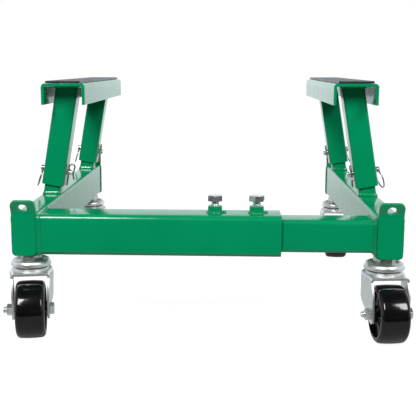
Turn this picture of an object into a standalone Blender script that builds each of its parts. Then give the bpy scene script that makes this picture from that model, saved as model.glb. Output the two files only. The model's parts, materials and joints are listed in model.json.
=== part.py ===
"""Adjustable engine cradle on four swivel casters.

A left and a right rail are joined by a telescoping cross tube. On each rail two leaning arms, each a drilled
post in a sleeve, carry a channel saddle with a ribbed rubber pad. Metres, +Z up, the front is at -Y, and the
floor is z = 0.
"""

import math

import bmesh
import bpy
from mathutils import Matrix, Vector

# Clearances
GAP = 0.0003
BORE_CLEARANCE = 0.0002
SLIDE_CLEARANCE = 0.0005

# Side rails and their end plates
RAIL_WIDTH = 0.030
RAIL_HEIGHT = 0.050
RAIL_WALL = 0.0025
RAIL_CORNER = 0.004
RAIL_CENTRE_X = 0.217
STAND_LENGTH = 0.495
STAND_FRONT_Y = -0.234
PLATE_THICKNESS = 0.004
PLATE_CORNER = 0.0065
TAB_LENGTH = 0.018
TAB_CORNER = 0.006
TAB_LEAN = math.radians(24)
TAB_BEND = 0.004
TAB_HOLE_RADIUS = 0.0055
TAB_HOLE_HEIGHT = 0.0088

# Telescoping cross tube
CROSS_SIZE = 0.050
CROSS_WALL = 0.0045
CROSS_CORNER = 0.0068
CROSS_INSET = 0.001
CROSS_INNER_CORNER = 0.0055
CROSS_OUTER_LENGTH = 0.2917
CROSS_OVERLAP = 0.150

# Clamp bolts on the cross tube
CLAMP_FROM_END = 0.029
CLAMP_SPACING = 0.050
CLAMP_RADIUS = 0.005
CLAMP_ACROSS_FLATS = 0.017
CLAMP_HEAD_HEIGHT = 0.007
CLAMP_NUT_HEIGHT = 0.0082
CLAMP_NECK = 0.0059
CLAMP_NUT_TURN = 30.0
CLAMP_BOLT_TURN = (30.0, 17.5)

# Arms
ARM_LEAN = math.radians(10)
ARM_FROM_FRONT = 0.165
ARM_FROM_BACK = 0.056
POST_SIZE = 0.023
POST_WALL = 0.0025
POST_CORNER = 0.003
POST_SHORT = 0.006
SLEEVE_WALL = 0.003
SLEEVE_CORNER = 0.0032
SLEEVE_START = 0.0133
PIN_HEIGHT = 0.033
HOLE_PITCH = 0.0127

# Saddles and pads
SADDLE_WIDTH = 0.058
SADDLE_DEPTH = 0.028
SADDLE_THICKNESS = 0.004
SADDLE_CORNER = 0.005
SADDLE_TOP = 0.3047
SADDLE_OVERHANG = 0.028
PAD_WIDTH = 0.046
PAD_THICKNESS = 0.003
PAD_RIB_PITCH = 0.0023
PAD_RIB_DEPTH = 0.0008

# Height pins, pull rings and clips
PIN_RADIUS = 0.004
PIN_STUB = 0.0065
PIN_TIP = 0.007
PIN_CHAMFER = 0.001
RING_RADIUS = 0.013
RING_WIRE = 0.0009
RING_HOLE_RADIUS = 0.002
RING_LEAN = math.radians(8)
RING_TURN = math.radians(10)
CLIP_WIRE = 0.001
CLIP_OFFSET = 0.0065
CLIP_EYE_RADIUS = 0.004
CLIP_LEG = 0.020
CLIP_SLOT = 0.0013
CLIP_FLARE = 0.002
CLIP_TURN = {"front_left": -70.0}

# Casters
CASTER_FROM_END = 0.030
CASTER_TRAIL = 0.0268
SWIVEL = {"front_left": 10.0, "front_right": 5.0, "rear_left": -4.0, "rear_right": -4.5}
WHEEL_RADIUS = 0.0355
WHEEL_STEPS = 24
WHEEL_WIDTH = 0.035
WHEEL_SHOULDER = 0.0055
WHEEL_RIM = 0.0075
WHEEL_WEB = 0.008
HUB_RADIUS = 0.010
AXLE_RADIUS = 0.004
AXLE_ACROSS_FLATS = 0.013
AXLE_HEAD = 0.0053
AXLE_NUT = 0.0062
AXLE_END = 0.0045
FORK_WALL = 0.003
FORK_WIDTH = 0.054
FORK_DRAW_IN = 0.001
FORK_TAPER = 0.14
FORK_TAPER_END = 0.016
FORK_CLEAR = 0.0057
FORK_BEND = 0.0045
FORK_LEG_FRONT = 0.0095
FORK_LEG_BACK = 0.006
FORK_LEG_FOOT = 0.0110
FORK_TOE = 0.004
FORK_BACK_EDGE = 0.027
FORK_CROWN_FRONT = 0.029
FORK_FRONT_EDGE = 0.016
RACE_RADIUS = 0.022
RACE_INNER = 0.0135
RACE_HEIGHT = 0.0043
RACE_EDGE = 0.0012
BALL_RING_RADIUS = 0.0175
BALL_RADIUS = 0.0015
CAP_RADIUS = 0.0245
CAP_RIM = 0.0014
CAP_LIP = 0.0025
CAP_HEIGHT = 0.0081
CAP_SHOULDER = 0.0028
CAP_CROWN_RADIUS = 0.0195
CAP_RECESS_RADIUS = 0.0155
CAP_RECESS = 0.0025
STEM_RADIUS = 0.006
STEM_NUT_ACROSS_FLATS = 0.024
STEM_NUT = 0.0077
STEM_NECK = 0.0020
STEM_IN_RAIL = 0.014
BOSS_WALL = 0.003
KING_PIN_RADIUS = 0.005
KING_HEAD_RADIUS = 0.0085
KING_HEAD = 0.003

ROUND_STEPS = 12
BORE_STEPS = 8
TURN_STEPS = 20
CORNER_STEPS = 3
WIRE_STEPS = 20

# Sizes that follow from the ones above
AXLE_Z = WHEEL_RADIUS * math.cos(math.pi / WHEEL_STEPS)
CROWN_BOTTOM = AXLE_Z + WHEEL_RADIUS + FORK_CLEAR
CROWN_TOP = CROWN_BOTTOM + FORK_WALL
RACE_TOP = CROWN_TOP + RACE_HEIGHT
CAP_SEAT = RACE_TOP + 2 * (BALL_RADIUS + GAP)
CAP_BOTTOM = CAP_SEAT - CAP_LIP
CAP_TOP = CAP_BOTTOM + CAP_HEIGHT
RAIL_BOTTOM = CAP_TOP + STEM_NUT + STEM_NECK
RAIL_TOP = RAIL_BOTTOM + RAIL_HEIGHT
RAIL_MIDDLE = RAIL_BOTTOM + RAIL_HEIGHT / 2
STAND_BACK_Y = STAND_FRONT_Y + STAND_LENGTH
STAND_MIDDLE_Y = STAND_FRONT_Y + STAND_LENGTH / 2
RAIL_LENGTH = STAND_LENGTH - 2 * (PLATE_THICKNESS + GAP)
RAIL_INNER_X = RAIL_CENTRE_X - RAIL_WIDTH / 2
CROSS_Y = STAND_FRONT_Y + CROSS_INSET + CROSS_SIZE / 2
CROSS_LEFT_X = -RAIL_INNER_X + GAP
CROSS_RIGHT_X = CROSS_LEFT_X + CROSS_OUTER_LENGTH
CROSS_INNER_SIZE = CROSS_SIZE - 2 * (CROSS_WALL + SLIDE_CLEARANCE)
CROSS_TOP = RAIL_MIDDLE + CROSS_SIZE / 2
SLEEVE_SIZE = POST_SIZE + 2 * (SLIDE_CLEARANCE + SLEEVE_WALL)
SLEEVE_BORE = SLEEVE_SIZE - 2 * SLEEVE_WALL
ARM_X = RAIL_CENTRE_X
SADDLE_UNDER = SADDLE_TOP - SADDLE_THICKNESS
SLEEVE_TOP = (SADDLE_UNDER - GAP - RAIL_TOP) / math.cos(ARM_LEAN)
POST_LENGTH = SLEEVE_TOP - POST_SHORT - POST_SIZE / 2 * math.tan(ARM_LEAN)
HOLE_COUNT = int((POST_LENGTH - PIN_HEIGHT) / HOLE_PITCH) - 1
ARM_FRONT_Y = STAND_FRONT_Y + ARM_FROM_FRONT
ARM_REAR_Y = STAND_BACK_Y - ARM_FROM_BACK
SADDLE_X = ARM_X - (SADDLE_UNDER - RAIL_TOP) * math.tan(ARM_LEAN)
SADDLE_LENGTH = ARM_REAR_Y - ARM_FRONT_Y + SLEEVE_SIZE + 2 * SADDLE_OVERHANG
FORK_FRONT = CASTER_TRAIL + FORK_LEG_FRONT
FORK_FOOT_HALF = (FORK_WIDTH / 2 - FORK_DRAW_IN) * (1 - FORK_TAPER)
HUB_HALF = FORK_FOOT_HALF - FORK_WALL * (1 - FORK_TAPER) - GAP
AXLE_FACE = FORK_FOOT_HALF + GAP

SIDES = {"left": -1, "right": 1}


def clear_scene():
    for old in list(bpy.data.objects):
        bpy.data.objects.remove(old)


def new_collection(name):
    collection = bpy.data.collections.new(name)
    bpy.context.scene.collection.children.link(collection)
    return collection


def new_material(name, colour, roughness, metallic):
    made = bpy.data.materials.new(name)
    made.use_nodes = True
    shader = made.node_tree.nodes["Principled BSDF"]
    shader.inputs["Base Color"].default_value = (*colour, 1)
    shader.inputs["Roughness"].default_value = roughness
    shader.inputs["Metallic"].default_value = metallic
    return made


# Outlines

def arc(centre, radius, start, end, steps):
    """Points on an arc, with angles in degrees."""
    angles = [math.radians(start + (end - start) * i / steps) for i in range(steps + 1)]
    return [(centre[0] + radius * math.cos(a), centre[1] + radius * math.sin(a)) for a in angles]


def rounded_rectangle(width, height, radius, lift=0.0):
    x, y = width / 2 - radius, height / 2 - radius
    corners = [((x, y), 0), ((-x, y), 90), ((-x, -y), 180), ((x, -y), 270)]
    points = []
    for (cx, cy), start in corners:
        points += arc((cx, cy + lift), radius, start, start + 90, CORNER_STEPS)
    return points


def polygon(radius, count, turn=0.0):
    return arc((0, 0), radius, turn, turn + 360, count)[:-1]


def hexagon(across_flats, turn=0.0):
    return polygon(across_flats / math.sqrt(3), 6, turn)


def bore_radius(radius, steps=BORE_STEPS):
    """The corner radius of a faceted bore that clears a round bar."""
    return (radius + BORE_CLEARANCE) / math.cos(math.pi / steps)


# Meshes

def freeze(obj):
    """The mesh that an object evaluates to, welded and facing out. The object is removed."""
    bpy.context.view_layer.update()
    graph = bpy.context.evaluated_depsgraph_get()
    mesh = bpy.data.meshes.new_from_object(obj.evaluated_get(graph))
    bpy.data.objects.remove(obj)
    work = bmesh.new()
    work.from_mesh(mesh)
    bmesh.ops.remove_doubles(work, verts=work.verts, dist=1e-6)
    bmesh.ops.recalc_face_normals(work, faces=work.faces)
    work.to_mesh(mesh)
    work.free()
    return mesh


def temporary(data):
    obj = bpy.data.objects.new("shape", data)
    bpy.context.scene.collection.objects.link(obj)
    return obj


def extruded(loops, thickness, matrix=Matrix()):
    """A flat outline with holes, extruded along Z about its own plane."""
    curve = bpy.data.curves.new("outline", "CURVE")
    curve.dimensions = "2D"
    curve.fill_mode = "BOTH"
    curve.extrude = thickness / 2
    for loop in loops:
        spline = curve.splines.new("POLY")
        spline.points.add(len(loop) - 1)
        for point, (x, y) in zip(spline.points, loop):
            point.co = (x, y, 0, 1)
        spline.use_cyclic_u = True
    mesh = freeze(temporary(curve))
    mesh.transform(matrix)
    return mesh


def turned(profile, steps, closed=False, matrix=Matrix()):
    """A profile of (radius, height) points turned about Z."""
    data = bpy.data.meshes.new("profile")
    count = len(profile)
    edges = [(i, (i + 1) % count) for i in range(count if closed else count - 1)]
    data.from_pydata([(r, 0, z) for r, z in profile], edges, [])
    obj = temporary(data)
    screw = obj.modifiers.new("turn", "SCREW")
    screw.steps = steps
    screw.render_steps = steps
    screw.use_merge_vertices = True
    screw.merge_threshold = 1e-6
    mesh = freeze(obj)
    mesh.transform(matrix)
    return mesh


def wire(points, radius, cyclic=False):
    """A round wire along points."""
    curve = bpy.data.curves.new("wire", "CURVE")
    curve.dimensions = "3D"
    curve.bevel_depth = radius
    curve.bevel_resolution = 1
    curve.use_fill_caps = True
    spline = curve.splines.new("POLY")
    spline.points.add(len(points) - 1)
    for point, place in zip(spline.points, points):
        point.co = (*place, 1)
    spline.use_cyclic_u = cyclic
    return freeze(temporary(curve))


def combine(mesh, others, operation):
    """One mesh joined with, or cut by, others."""
    obj = temporary(mesh)
    helpers = [temporary(other) for other in others]
    for helper in helpers:
        modifier = obj.modifiers.new("shape", "BOOLEAN")
        modifier.operation = operation
        modifier.object = helper
    made = freeze(obj)
    for helper in helpers:
        bpy.data.objects.remove(helper)
    return made


def joined(mesh, *others):
    return combine(mesh, others, "UNION")


def cut(mesh, *others):
    return combine(mesh, others, "DIFFERENCE")


def common(mesh, *others):
    return combine(mesh, others, "INTERSECT")


def rod(radius, start, end, steps=ROUND_STEPS, matrix=Matrix()):
    """A round bar along Z."""
    return turned([(0, end), (radius, end), (radius, start), (0, start)], steps, matrix=matrix)


def bore(radius, start, end, matrix=Matrix()):
    """A cutter for a bore that clears a round bar along Z."""
    return rod(bore_radius(radius), start, end, BORE_STEPS, matrix)


def box(low, high):
    """A block between two corners."""
    size = Vector(high) - Vector(low)
    middle = (Vector(high) + Vector(low)) / 2
    work = bmesh.new()
    bmesh.ops.create_cube(work, size=1, matrix=Matrix.Translation(middle) @ Matrix.Diagonal((*size, 1)))
    mesh = bpy.data.meshes.new("block")
    work.to_mesh(mesh)
    work.free()
    return mesh


def tube(width, height, wall, corner, length, matrix):
    """A rounded box section along Z."""
    outside = rounded_rectangle(width, height, corner)
    inside = rounded_rectangle(width - 2 * wall, height - 2 * wall, max(corner - wall, corner / 4))
    return extruded([outside, inside], length, matrix)


def mitred(mesh, end, slope):
    """Slides the end points of a section along Z, so that the end lies on a plane that slopes along X."""
    for vertex in mesh.vertices:
        if abs(vertex.co.z - end) < 1e-5:
            vertex.co.z += vertex.co.x * slope
    return mesh


ALONG_X = Matrix.Rotation(math.pi / 2, 4, "Y")
ALONG_Y = Matrix.Rotation(math.pi / 2, 4, "X")
UPRIGHT = ALONG_X @ Matrix.Rotation(math.pi / 2, 4, "Z")
SHIFT = Matrix.Translation


# Frame pieces

def rail_mesh():
    """A rail centred on x = 0, with a boss over each caster stem."""
    place = SHIFT((0, STAND_MIDDLE_Y, RAIL_MIDDLE)) @ ALONG_Y
    mesh = tube(RAIL_WIDTH, RAIL_HEIGHT, RAIL_WALL, RAIL_CORNER, RAIL_LENGTH, place)
    floor = RAIL_BOTTOM + RAIL_WALL
    spots = [STAND_FRONT_Y + CASTER_FROM_END, STAND_BACK_Y - CASTER_FROM_END]
    top = RAIL_BOTTOM + STEM_IN_RAIL
    outside = bore_radius(STEM_RADIUS) + BOSS_WALL
    bosses = [rod(outside, floor - RAIL_WALL / 2, top, matrix=SHIFT((0, y, 0))) for y in spots]
    bores = [bore(STEM_RADIUS, RAIL_BOTTOM - RAIL_WALL, top + RAIL_WALL, SHIFT((0, y, 0))) for y in spots]
    return cut(joined(mesh, *bosses), *bores)


def plate_mesh():
    """An end plate in x and z, its outer face on y = 0 towards -Y, with its tab leaning to -Y."""
    half = RAIL_WIDTH / 2
    top = RAIL_TOP + TAB_LENGTH
    outline = arc((half - TAB_CORNER, top - TAB_CORNER), TAB_CORNER, 0, 90, CORNER_STEPS)
    outline += arc((TAB_CORNER - half, top - TAB_CORNER), TAB_CORNER, 90, 180, CORNER_STEPS)
    low = RAIL_BOTTOM + PLATE_CORNER
    outline += arc((PLATE_CORNER - half, low), PLATE_CORNER, 180, 270, CORNER_STEPS)
    outline += arc((half - PLATE_CORNER, low), PLATE_CORNER, 270, 360, CORNER_STEPS)
    hole_z = RAIL_TOP + TAB_HOLE_HEIGHT
    hole = [(x, y + hole_z) for x, y in polygon(TAB_HOLE_RADIUS, ROUND_STEPS)]
    stand_up = SHIFT((0, PLATE_THICKNESS / 2, 0)) @ ALONG_Y
    mesh = extruded([outline, hole], PLATE_THICKNESS, stand_up)
    for share in (0.0, 1.0):
        bend_z = RAIL_TOP + share * TAB_BEND
        bend = SHIFT((0, 0, bend_z)) @ Matrix.Rotation(TAB_LEAN / 2, 4, "X") @ SHIFT((0, 0, -bend_z))
        work = bmesh.new()
        work.from_mesh(mesh)
        everything = list(work.verts) + list(work.edges) + list(work.faces)
        bmesh.ops.bisect_plane(work, geom=everything, plane_co=(0, 0, bend_z), plane_no=(0, 0, 1))
        bmesh.ops.triangulate(work, faces=work.faces)
        above = [v for v in work.verts if v.co.z > bend_z + 1e-6]
        bmesh.ops.transform(work, matrix=bend, verts=above)
        work.to_mesh(mesh)
        work.free()
    return mesh


def cross_outer_mesh():
    middle_x = CROSS_LEFT_X + CROSS_OUTER_LENGTH / 2
    place = SHIFT((middle_x, CROSS_Y, RAIL_MIDDLE)) @ ALONG_X
    mesh = tube(CROSS_SIZE, CROSS_SIZE, CROSS_WALL, CROSS_CORNER, CROSS_OUTER_LENGTH, place)
    low, high = CROSS_TOP - 1.5 * CROSS_WALL, CROSS_TOP + CROSS_WALL
    holes = [bore(CLAMP_RADIUS, low, high, SHIFT((x, CROSS_Y, 0))) for x in clamp_places()]
    return cut(mesh, *holes)


def cross_inner_mesh():
    """The sliding tube, with x = 0 at the right rail's inner face."""
    length = RAIL_INNER_X - CROSS_RIGHT_X + CROSS_OVERLAP - GAP
    place = SHIFT((-GAP - length / 2, CROSS_Y, RAIL_MIDDLE)) @ ALONG_X
    return tube(CROSS_INNER_SIZE, CROSS_INNER_SIZE, CROSS_WALL, CROSS_INNER_CORNER, length, place)


def clamp_places():
    first = CROSS_RIGHT_X - CLAMP_FROM_END
    return [first - CLAMP_SPACING, first]


def clamp_nut_mesh():
    inside = polygon(bore_radius(CLAMP_RADIUS), BORE_STEPS)
    place = SHIFT((0, 0, GAP + CLAMP_NUT_HEIGHT / 2))
    return extruded([hexagon(CLAMP_ACROSS_FLATS, CLAMP_NUT_TURN), inside], CLAMP_NUT_HEIGHT, place)


def clamp_bolt_mesh():
    """A hex bolt whose tip reaches the inner tube, with z = 0 on top of the outer tube."""
    head_z = GAP + CLAMP_NUT_HEIGHT + CLAMP_NECK
    tip_z = -CROSS_WALL - SLIDE_CLEARANCE + GAP
    middle_z = head_z + CLAMP_HEAD_HEIGHT / 2
    head = extruded([hexagon(CLAMP_ACROSS_FLATS)], CLAMP_HEAD_HEIGHT, SHIFT((0, 0, middle_z)))
    return joined(head, rod(CLAMP_RADIUS, tip_z, middle_z))


# Arm pieces, in an arm's own frame: z up the arm from the rail's top, +x towards the stand's middle

def post_mesh():
    place = SHIFT((0, 0, GAP + POST_LENGTH / 2))
    mesh = tube(POST_SIZE, POST_SIZE, POST_WALL, POST_CORNER, POST_LENGTH, place)
    mitred(mesh, GAP, math.tan(ARM_LEAN))
    heights = [PIN_HEIGHT + i * HOLE_PITCH for i in range(HOLE_COUNT)]
    holes = [bore(PIN_RADIUS, -POST_SIZE, POST_SIZE, SHIFT((0, 0, z)) @ ALONG_X) for z in heights]
    return cut(mesh, *holes)


def sleeve_mesh():
    place = SHIFT((0, 0, (SLEEVE_START + SLEEVE_TOP) / 2))
    mesh = tube(SLEEVE_SIZE, SLEEVE_SIZE, SLEEVE_WALL, SLEEVE_CORNER, SLEEVE_TOP - SLEEVE_START, place)
    mitred(mesh, SLEEVE_TOP, math.tan(ARM_LEAN))
    hole = bore(PIN_RADIUS, -SLEEVE_SIZE, SLEEVE_SIZE, SHIFT((0, 0, PIN_HEIGHT)) @ ALONG_X)
    return cut(mesh, hole)


# Pin pieces, in a pin's own frame: x along the pin, +x towards the stand's middle

PIN_FACE = SLEEVE_SIZE / 2 + GAP
PIN_OUTER_END = PIN_FACE + PIN_STUB
RING_HOLE_X = -(PIN_FACE + PIN_STUB / 2)
CLIP_X = PIN_FACE + CLIP_WIRE + PIN_TIP / 6


def pin_mesh():
    """A pin with an outer end drilled for the ring and a slot in its tip for the clip."""
    outer, tip = -PIN_OUTER_END, PIN_FACE + PIN_TIP
    profile = [
        (0, tip), (PIN_RADIUS - PIN_CHAMFER, tip), (PIN_RADIUS, tip - PIN_CHAMFER),
        (PIN_RADIUS, outer + PIN_CHAMFER), (PIN_RADIUS - PIN_CHAMFER, outer), (0, outer),
    ]
    mesh = turned(profile, ROUND_STEPS, matrix=ALONG_X)
    past = 2 * PIN_RADIUS
    hole = rod(RING_HOLE_RADIUS, -past, past, matrix=SHIFT((RING_HOLE_X, 0, 0)) @ ALONG_Y)
    slot_start = CLIP_X - CLIP_WIRE - GAP
    slot = box((slot_start, -CLIP_SLOT, -past), (tip + PIN_CHAMFER, CLIP_SLOT, past))
    return cut(mesh, hole, slot)


def ring_mesh():
    """A pull ring hanging from the origin, leaning out from the sleeve and turned a little in its hole."""
    points = [(0, RING_RADIUS * x, RING_RADIUS * (z - 1)) for x, z in polygon(1, WIRE_STEPS)]
    mesh = wire(points, RING_WIRE, cyclic=True)
    mesh.transform(Matrix.Rotation(RING_LEAN, 4, "Y") @ Matrix.Rotation(RING_TURN, 4, "Z"))
    return mesh


def clip_mesh():
    """An R-clip: a straight leg through the pin, an eye above it and a spring leg beside the pin."""
    middle = (CLIP_OFFSET / 2, PIN_RADIUS + CLIP_WIRE + GAP + CLIP_EYE_RADIUS / 2)
    eye = arc(middle, CLIP_EYE_RADIUS, 205, -25, 10)
    points = [(0, -CLIP_LEG), (0, PIN_RADIUS)] + eye
    points += [(CLIP_OFFSET, 0), (CLIP_OFFSET, -PIN_RADIUS), (CLIP_OFFSET + CLIP_FLARE, -CLIP_LEG / 2)]
    return wire([(0, y, z) for y, z in points], CLIP_WIRE)


# Saddle pieces, centred on x = 0 and y = 0

def saddle_mesh():
    half, inner = SADDLE_WIDTH / 2, SADDLE_WIDTH / 2 - SADDLE_THICKNESS
    bottom = SADDLE_TOP - SADDLE_DEPTH
    bend = max(SADDLE_CORNER - SADDLE_THICKNESS, SADDLE_CORNER / 5)
    outline = arc((half - SADDLE_CORNER, SADDLE_TOP - SADDLE_CORNER), SADDLE_CORNER, 0, 90, CORNER_STEPS)
    outline += arc((SADDLE_CORNER - half, SADDLE_TOP - SADDLE_CORNER), SADDLE_CORNER, 90, 180, CORNER_STEPS)
    outline += [(-half, bottom), (-inner, bottom)]
    outline += arc((bend - inner, SADDLE_UNDER - bend), bend, 180, 90, CORNER_STEPS)
    outline += arc((inner - bend, SADDLE_UNDER - bend), bend, 90, 0, CORNER_STEPS)
    outline += [(inner, bottom), (half, bottom)]
    return extruded([outline], SADDLE_LENGTH, ALONG_Y)


def pad_mesh():
    """A rubber strip with fine ribs along its length."""
    half = PAD_WIDTH / 2
    bottom, top = SADDLE_TOP + GAP, SADDLE_TOP + GAP + PAD_THICKNESS
    count = int(PAD_WIDTH / PAD_RIB_PITCH)
    pitch = PAD_WIDTH / count
    outline = [(-half, bottom), (half, bottom)]
    for i in range(count):
        right = half - i * pitch
        outline += [(right, top), (right - 0.5 * pitch, top)]
        outline += [(right - 0.6 * pitch, top - PAD_RIB_DEPTH), (right - 0.9 * pitch, top - PAD_RIB_DEPTH)]
    outline.append((-half, top))
    return extruded([outline], SADDLE_LENGTH, ALONG_Y)


# Caster pieces, in a caster's own frame: z up the swivel axis from the floor, the wheel trailing to -Y

def cap_mesh():
    """Stem, stem nut, dished cap and king pin in one piece."""
    stem_top = RAIL_BOTTOM + STEM_IN_RAIL
    seat, recess = CAP_RADIUS - CAP_RIM, CAP_TOP - CAP_RECESS
    king_low = CROWN_BOTTOM - GAP
    profile = [
        (0, stem_top), (STEM_RADIUS, stem_top), (STEM_RADIUS, recess), (CAP_RECESS_RADIUS, recess),
        (CAP_CROWN_RADIUS, CAP_TOP), (CAP_RADIUS - CAP_SHOULDER / 2, CAP_TOP - CAP_SHOULDER / 2),
        (CAP_RADIUS, CAP_BOTTOM + CAP_LIP), (CAP_RADIUS, CAP_BOTTOM), (seat, CAP_BOTTOM), (seat, CAP_SEAT),
        (KING_PIN_RADIUS, CAP_SEAT), (KING_PIN_RADIUS, king_low), (KING_HEAD_RADIUS, king_low),
        (KING_HEAD_RADIUS, king_low - KING_HEAD / 2), (KING_PIN_RADIUS, king_low - KING_HEAD),
        (0, king_low - KING_HEAD),
    ]
    nut_low, nut_high = recess - CAP_RIM / 2, CAP_TOP + STEM_NUT
    nut_place = SHIFT((0, 0, (nut_low + nut_high) / 2))
    nut = extruded([hexagon(STEM_NUT_ACROSS_FLATS)], nut_high - nut_low, nut_place)
    return joined(turned(profile, TURN_STEPS), nut)


def ball_ring_mesh():
    """The ring of balls in the swivel, as one round ring."""
    rise = RACE_TOP + GAP + BALL_RADIUS
    return wire([(x, y, rise) for x, y in polygon(BALL_RING_RADIUS, TURN_STEPS)], BALL_RADIUS, True)


def fork_section():
    """The fork's bent sheet across x and z: the crown, and two legs that draw in towards the axle."""
    half, foot = FORK_WIDTH / 2, FORK_WIDTH / 2 - FORK_DRAW_IN
    low, straight = AXLE_Z - FORK_LEG_FOOT - FORK_WALL, AXLE_Z + FORK_LEG_FOOT
    bend = FORK_BEND
    outside = [(foot, low), (foot, straight)]
    outside += arc((half - bend, CROWN_TOP - bend), bend, 0, 90, CORNER_STEPS)
    inner_bend = max(bend - FORK_WALL, bend / 4)
    inside = arc((half - FORK_WALL - inner_bend, CROWN_BOTTOM - inner_bend), inner_bend, 90, 0, CORNER_STEPS)
    inside += [(foot - FORK_WALL, straight), (foot - FORK_WALL, low)]
    mirrored = [(-x, z) for x, z in reversed(outside)] + [(-x, z) for x, z in reversed(inside)]
    return outside + mirrored + inside


def fork_side():
    """What a side view keeps of the bent sheet, in y and z."""
    back, front = FORK_WIDTH, -FORK_FRONT
    high, lip = CROWN_TOP + FORK_WALL, CROWN_BOTTOM - FORK_WALL
    outline = [(-FORK_CROWN_FRONT, high), (back, high), (back, lip), (FORK_LEG_BACK, lip)]
    outline += [(FORK_LEG_BACK, CROWN_BOTTOM - FORK_BACK_EDGE)]
    outline += arc((-CASTER_TRAIL, AXLE_Z), FORK_LEG_FOOT, -35, -90, CORNER_STEPS)
    outline += arc((front + FORK_TOE, AXLE_Z - FORK_LEG_FOOT + FORK_TOE), FORK_TOE, 270, 180, CORNER_STEPS)
    return outline + [(front, CROWN_BOTTOM - FORK_FRONT_EDGE), (-FORK_CROWN_FRONT, lip)]


def fork_plan():
    """What a top view keeps of the bent sheet: its back is rounded about the swivel axis."""
    wide = FORK_WIDTH
    far = -FORK_WIDTH - FORK_FRONT
    return arc((0, 0), FORK_WIDTH / 2, 8, 172, 12) + [(-wide, 0), (-wide, far), (wide, far), (wide, 0)]


def narrowed(mesh):
    """Draws the fork's sides together between the swivel axis and the axle."""
    work = bmesh.new()
    work.from_mesh(mesh)
    for y in (0.0, -FORK_TAPER_END):
        everything = list(work.verts) + list(work.edges) + list(work.faces)
        bmesh.ops.bisect_plane(work, geom=everything, plane_co=(0, y, 0), plane_no=(0, 1, 0))
    bmesh.ops.triangulate(work, faces=work.faces)
    for vertex in work.verts:
        share = min(1.0, max(0.0, -vertex.co.y / FORK_TAPER_END))
        vertex.co.x *= 1 - FORK_TAPER * share
    work.to_mesh(mesh)
    work.free()
    return mesh


def fork_mesh():
    """A pressed fork: the bent sheet trimmed in side and top view, with a race round its king pin hole."""
    sheet = extruded([fork_section()], 3 * FORK_WIDTH, ALONG_Y)
    side = extruded([fork_side()], 2 * FORK_WIDTH, UPRIGHT)
    plan = extruded([fork_plan()], 2 * CROWN_TOP, SHIFT((0, 0, CROWN_TOP)))
    base = CROWN_TOP - FORK_WALL / 2
    race = [
        (RACE_INNER, RACE_TOP), (RACE_RADIUS - RACE_EDGE, RACE_TOP), (RACE_RADIUS, RACE_TOP - RACE_EDGE),
        (RACE_RADIUS, base), (RACE_INNER, base),
    ]
    mesh = joined(narrowed(common(sheet, side, plan)), turned(race, TURN_STEPS, closed=True))
    axle_hole = bore(AXLE_RADIUS, -FORK_WIDTH, FORK_WIDTH, SHIFT((0, -CASTER_TRAIL, AXLE_Z)) @ ALONG_X)
    king_hole = bore(KING_PIN_RADIUS, CROWN_BOTTOM - FORK_WALL, RACE_TOP + FORK_WALL)
    return cut(mesh, axle_hole, king_hole)


def wheel_mesh():
    """A moulded wheel about X, with a flat of its tread down."""
    half, tread = WHEEL_WIDTH / 2, WHEEL_WIDTH / 2 - WHEEL_SHOULDER
    web, rim = WHEEL_WEB / 2, WHEEL_RADIUS - WHEEL_RIM
    right = [
        (bore_radius(AXLE_RADIUS, WHEEL_STEPS), HUB_HALF), (HUB_RADIUS, HUB_HALF), (HUB_RADIUS, web),
        (rim - web / 2, web), (rim, half),
    ]
    right += arc((WHEEL_RADIUS - WHEEL_SHOULDER, tread), WHEEL_SHOULDER, 90, 0, CORNER_STEPS)
    profile = right + [(r, -a) for r, a in reversed(right)]
    turn = ALONG_X @ Matrix.Rotation(math.pi / WHEEL_STEPS, 4, "Z")
    return turned(profile, WHEEL_STEPS, closed=True, matrix=turn)


def axle_bolt_mesh():
    """Head on the +X side, and a thread end that stands past the nut on the -X side."""
    end = -(AXLE_FACE + AXLE_NUT + AXLE_END)
    shank = rod(AXLE_RADIUS, end, AXLE_FACE + AXLE_HEAD / 2, matrix=ALONG_X)
    head_place = SHIFT((AXLE_FACE + AXLE_HEAD / 2, 0, 0)) @ ALONG_X
    return joined(extruded([hexagon(AXLE_ACROSS_FLATS)], AXLE_HEAD, head_place), shank)


def axle_nut_mesh():
    inside = polygon(bore_radius(AXLE_RADIUS), BORE_STEPS)
    place = SHIFT((-AXLE_FACE - AXLE_NUT / 2, 0, 0)) @ ALONG_X
    return extruded([hexagon(AXLE_ACROSS_FLATS), inside], AXLE_NUT, place)


# Assembly

clear_scene()
STAND = new_collection("engine_stand")

GREEN = new_material("green_paint", (0.0, 0.26, 0.10), 0.25, 0.0)
ZINC = new_material("zinc_plate", (0.60, 0.63, 0.63), 0.30, 1.0)
RUBBER = new_material("black_rubber", (0.02, 0.02, 0.022), 0.75, 0.0)
WHEEL_BLACK = new_material("wheel_black", (0.012, 0.012, 0.013), 0.22, 0.0)


def empty(name, parent=None, location=(0, 0, 0), rotation=(0, 0, 0)):
    made = bpy.data.objects.new(name, None)
    STAND.objects.link(made)
    made.parent = parent
    made.location = location
    made.rotation_euler = rotation
    return made


def node(name, mesh, material, parent, location=(0, 0, 0), rotation=(0, 0, 0)):
    made = bpy.data.objects.new(name, mesh)
    if not mesh.materials:
        mesh.materials.append(material)
    mesh.shade_smooth()
    mesh.set_sharp_from_angle(angle=math.radians(35))
    STAND.objects.link(made)
    made.parent = parent
    made.location = location
    made.rotation_euler = rotation
    return made


stand = empty("stand")
frames = {
    "left": empty("left_frame", stand),
    "right": empty("right_frame", stand, (RAIL_INNER_X, 0, 0)),
}


def to_frame(side, x):
    """An x of the whole stand, in a side frame's own measure."""
    return x - frames[side].location.x


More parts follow.
